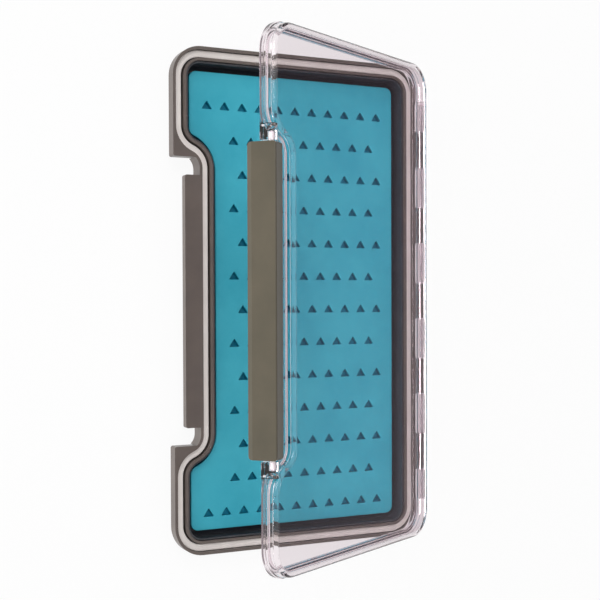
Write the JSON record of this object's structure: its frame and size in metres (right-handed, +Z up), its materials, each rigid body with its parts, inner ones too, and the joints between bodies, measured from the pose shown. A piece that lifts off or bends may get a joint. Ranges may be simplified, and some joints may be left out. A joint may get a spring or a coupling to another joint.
{
  "type": "fly box",
  "caption": "Slim hinged box with a clear lid, full-length snap latch, sealed rim and a notched soft insert for holding fishing flies.",
  "frame": {"origin": "centre of the tray's outline on its flat underside", "axes": "+X along the length, +Y towards the hinge (latch on the -Y side), +Z up out of the tray"},
  "size_m": [0.188, 0.1067, 0.0648],
  "materials": {
    "base_tray": "taupe moulded plastic, fine satin texture",
    "inner_liner": "charcoal matte plastic",
    "silicone_insert": "teal silicone, satin",
    "rim_seal": "pale grey silicone, matte",
    "lid": "clear polycarbonate, polished",
    "latch": "taupe moulded plastic, semi-gloss",
    "hinge_pin": "drawn steel wire"
  },
  "bodies": {
    "tray": {"base_tray": "base_tray", "inner_liner": "inner_liner", "silicone_insert": "silicone_insert", "rim_seal": "rim_seal", "hinge_pin": "hinge_pin"},
    "lid": {"lid": "lid"},
    "latch": {"latch": "latch"}
  },
  "joints": [
    {"name": "lid_hinge", "type": "hinge", "parent": "tray", "child": "lid", "pos_m": [0, 0.0535, 0.0105], "axis": [-1, 0, 0], "range_deg": [-28, 152]},
    {"name": "latch_hinge", "type": "hinge", "parent": "lid", "child": "latch", "pos_m": [0, -0.0354, 0.06185], "axis": [-1, 0, 0], "range_deg": [-13, 90]}
  ]
}
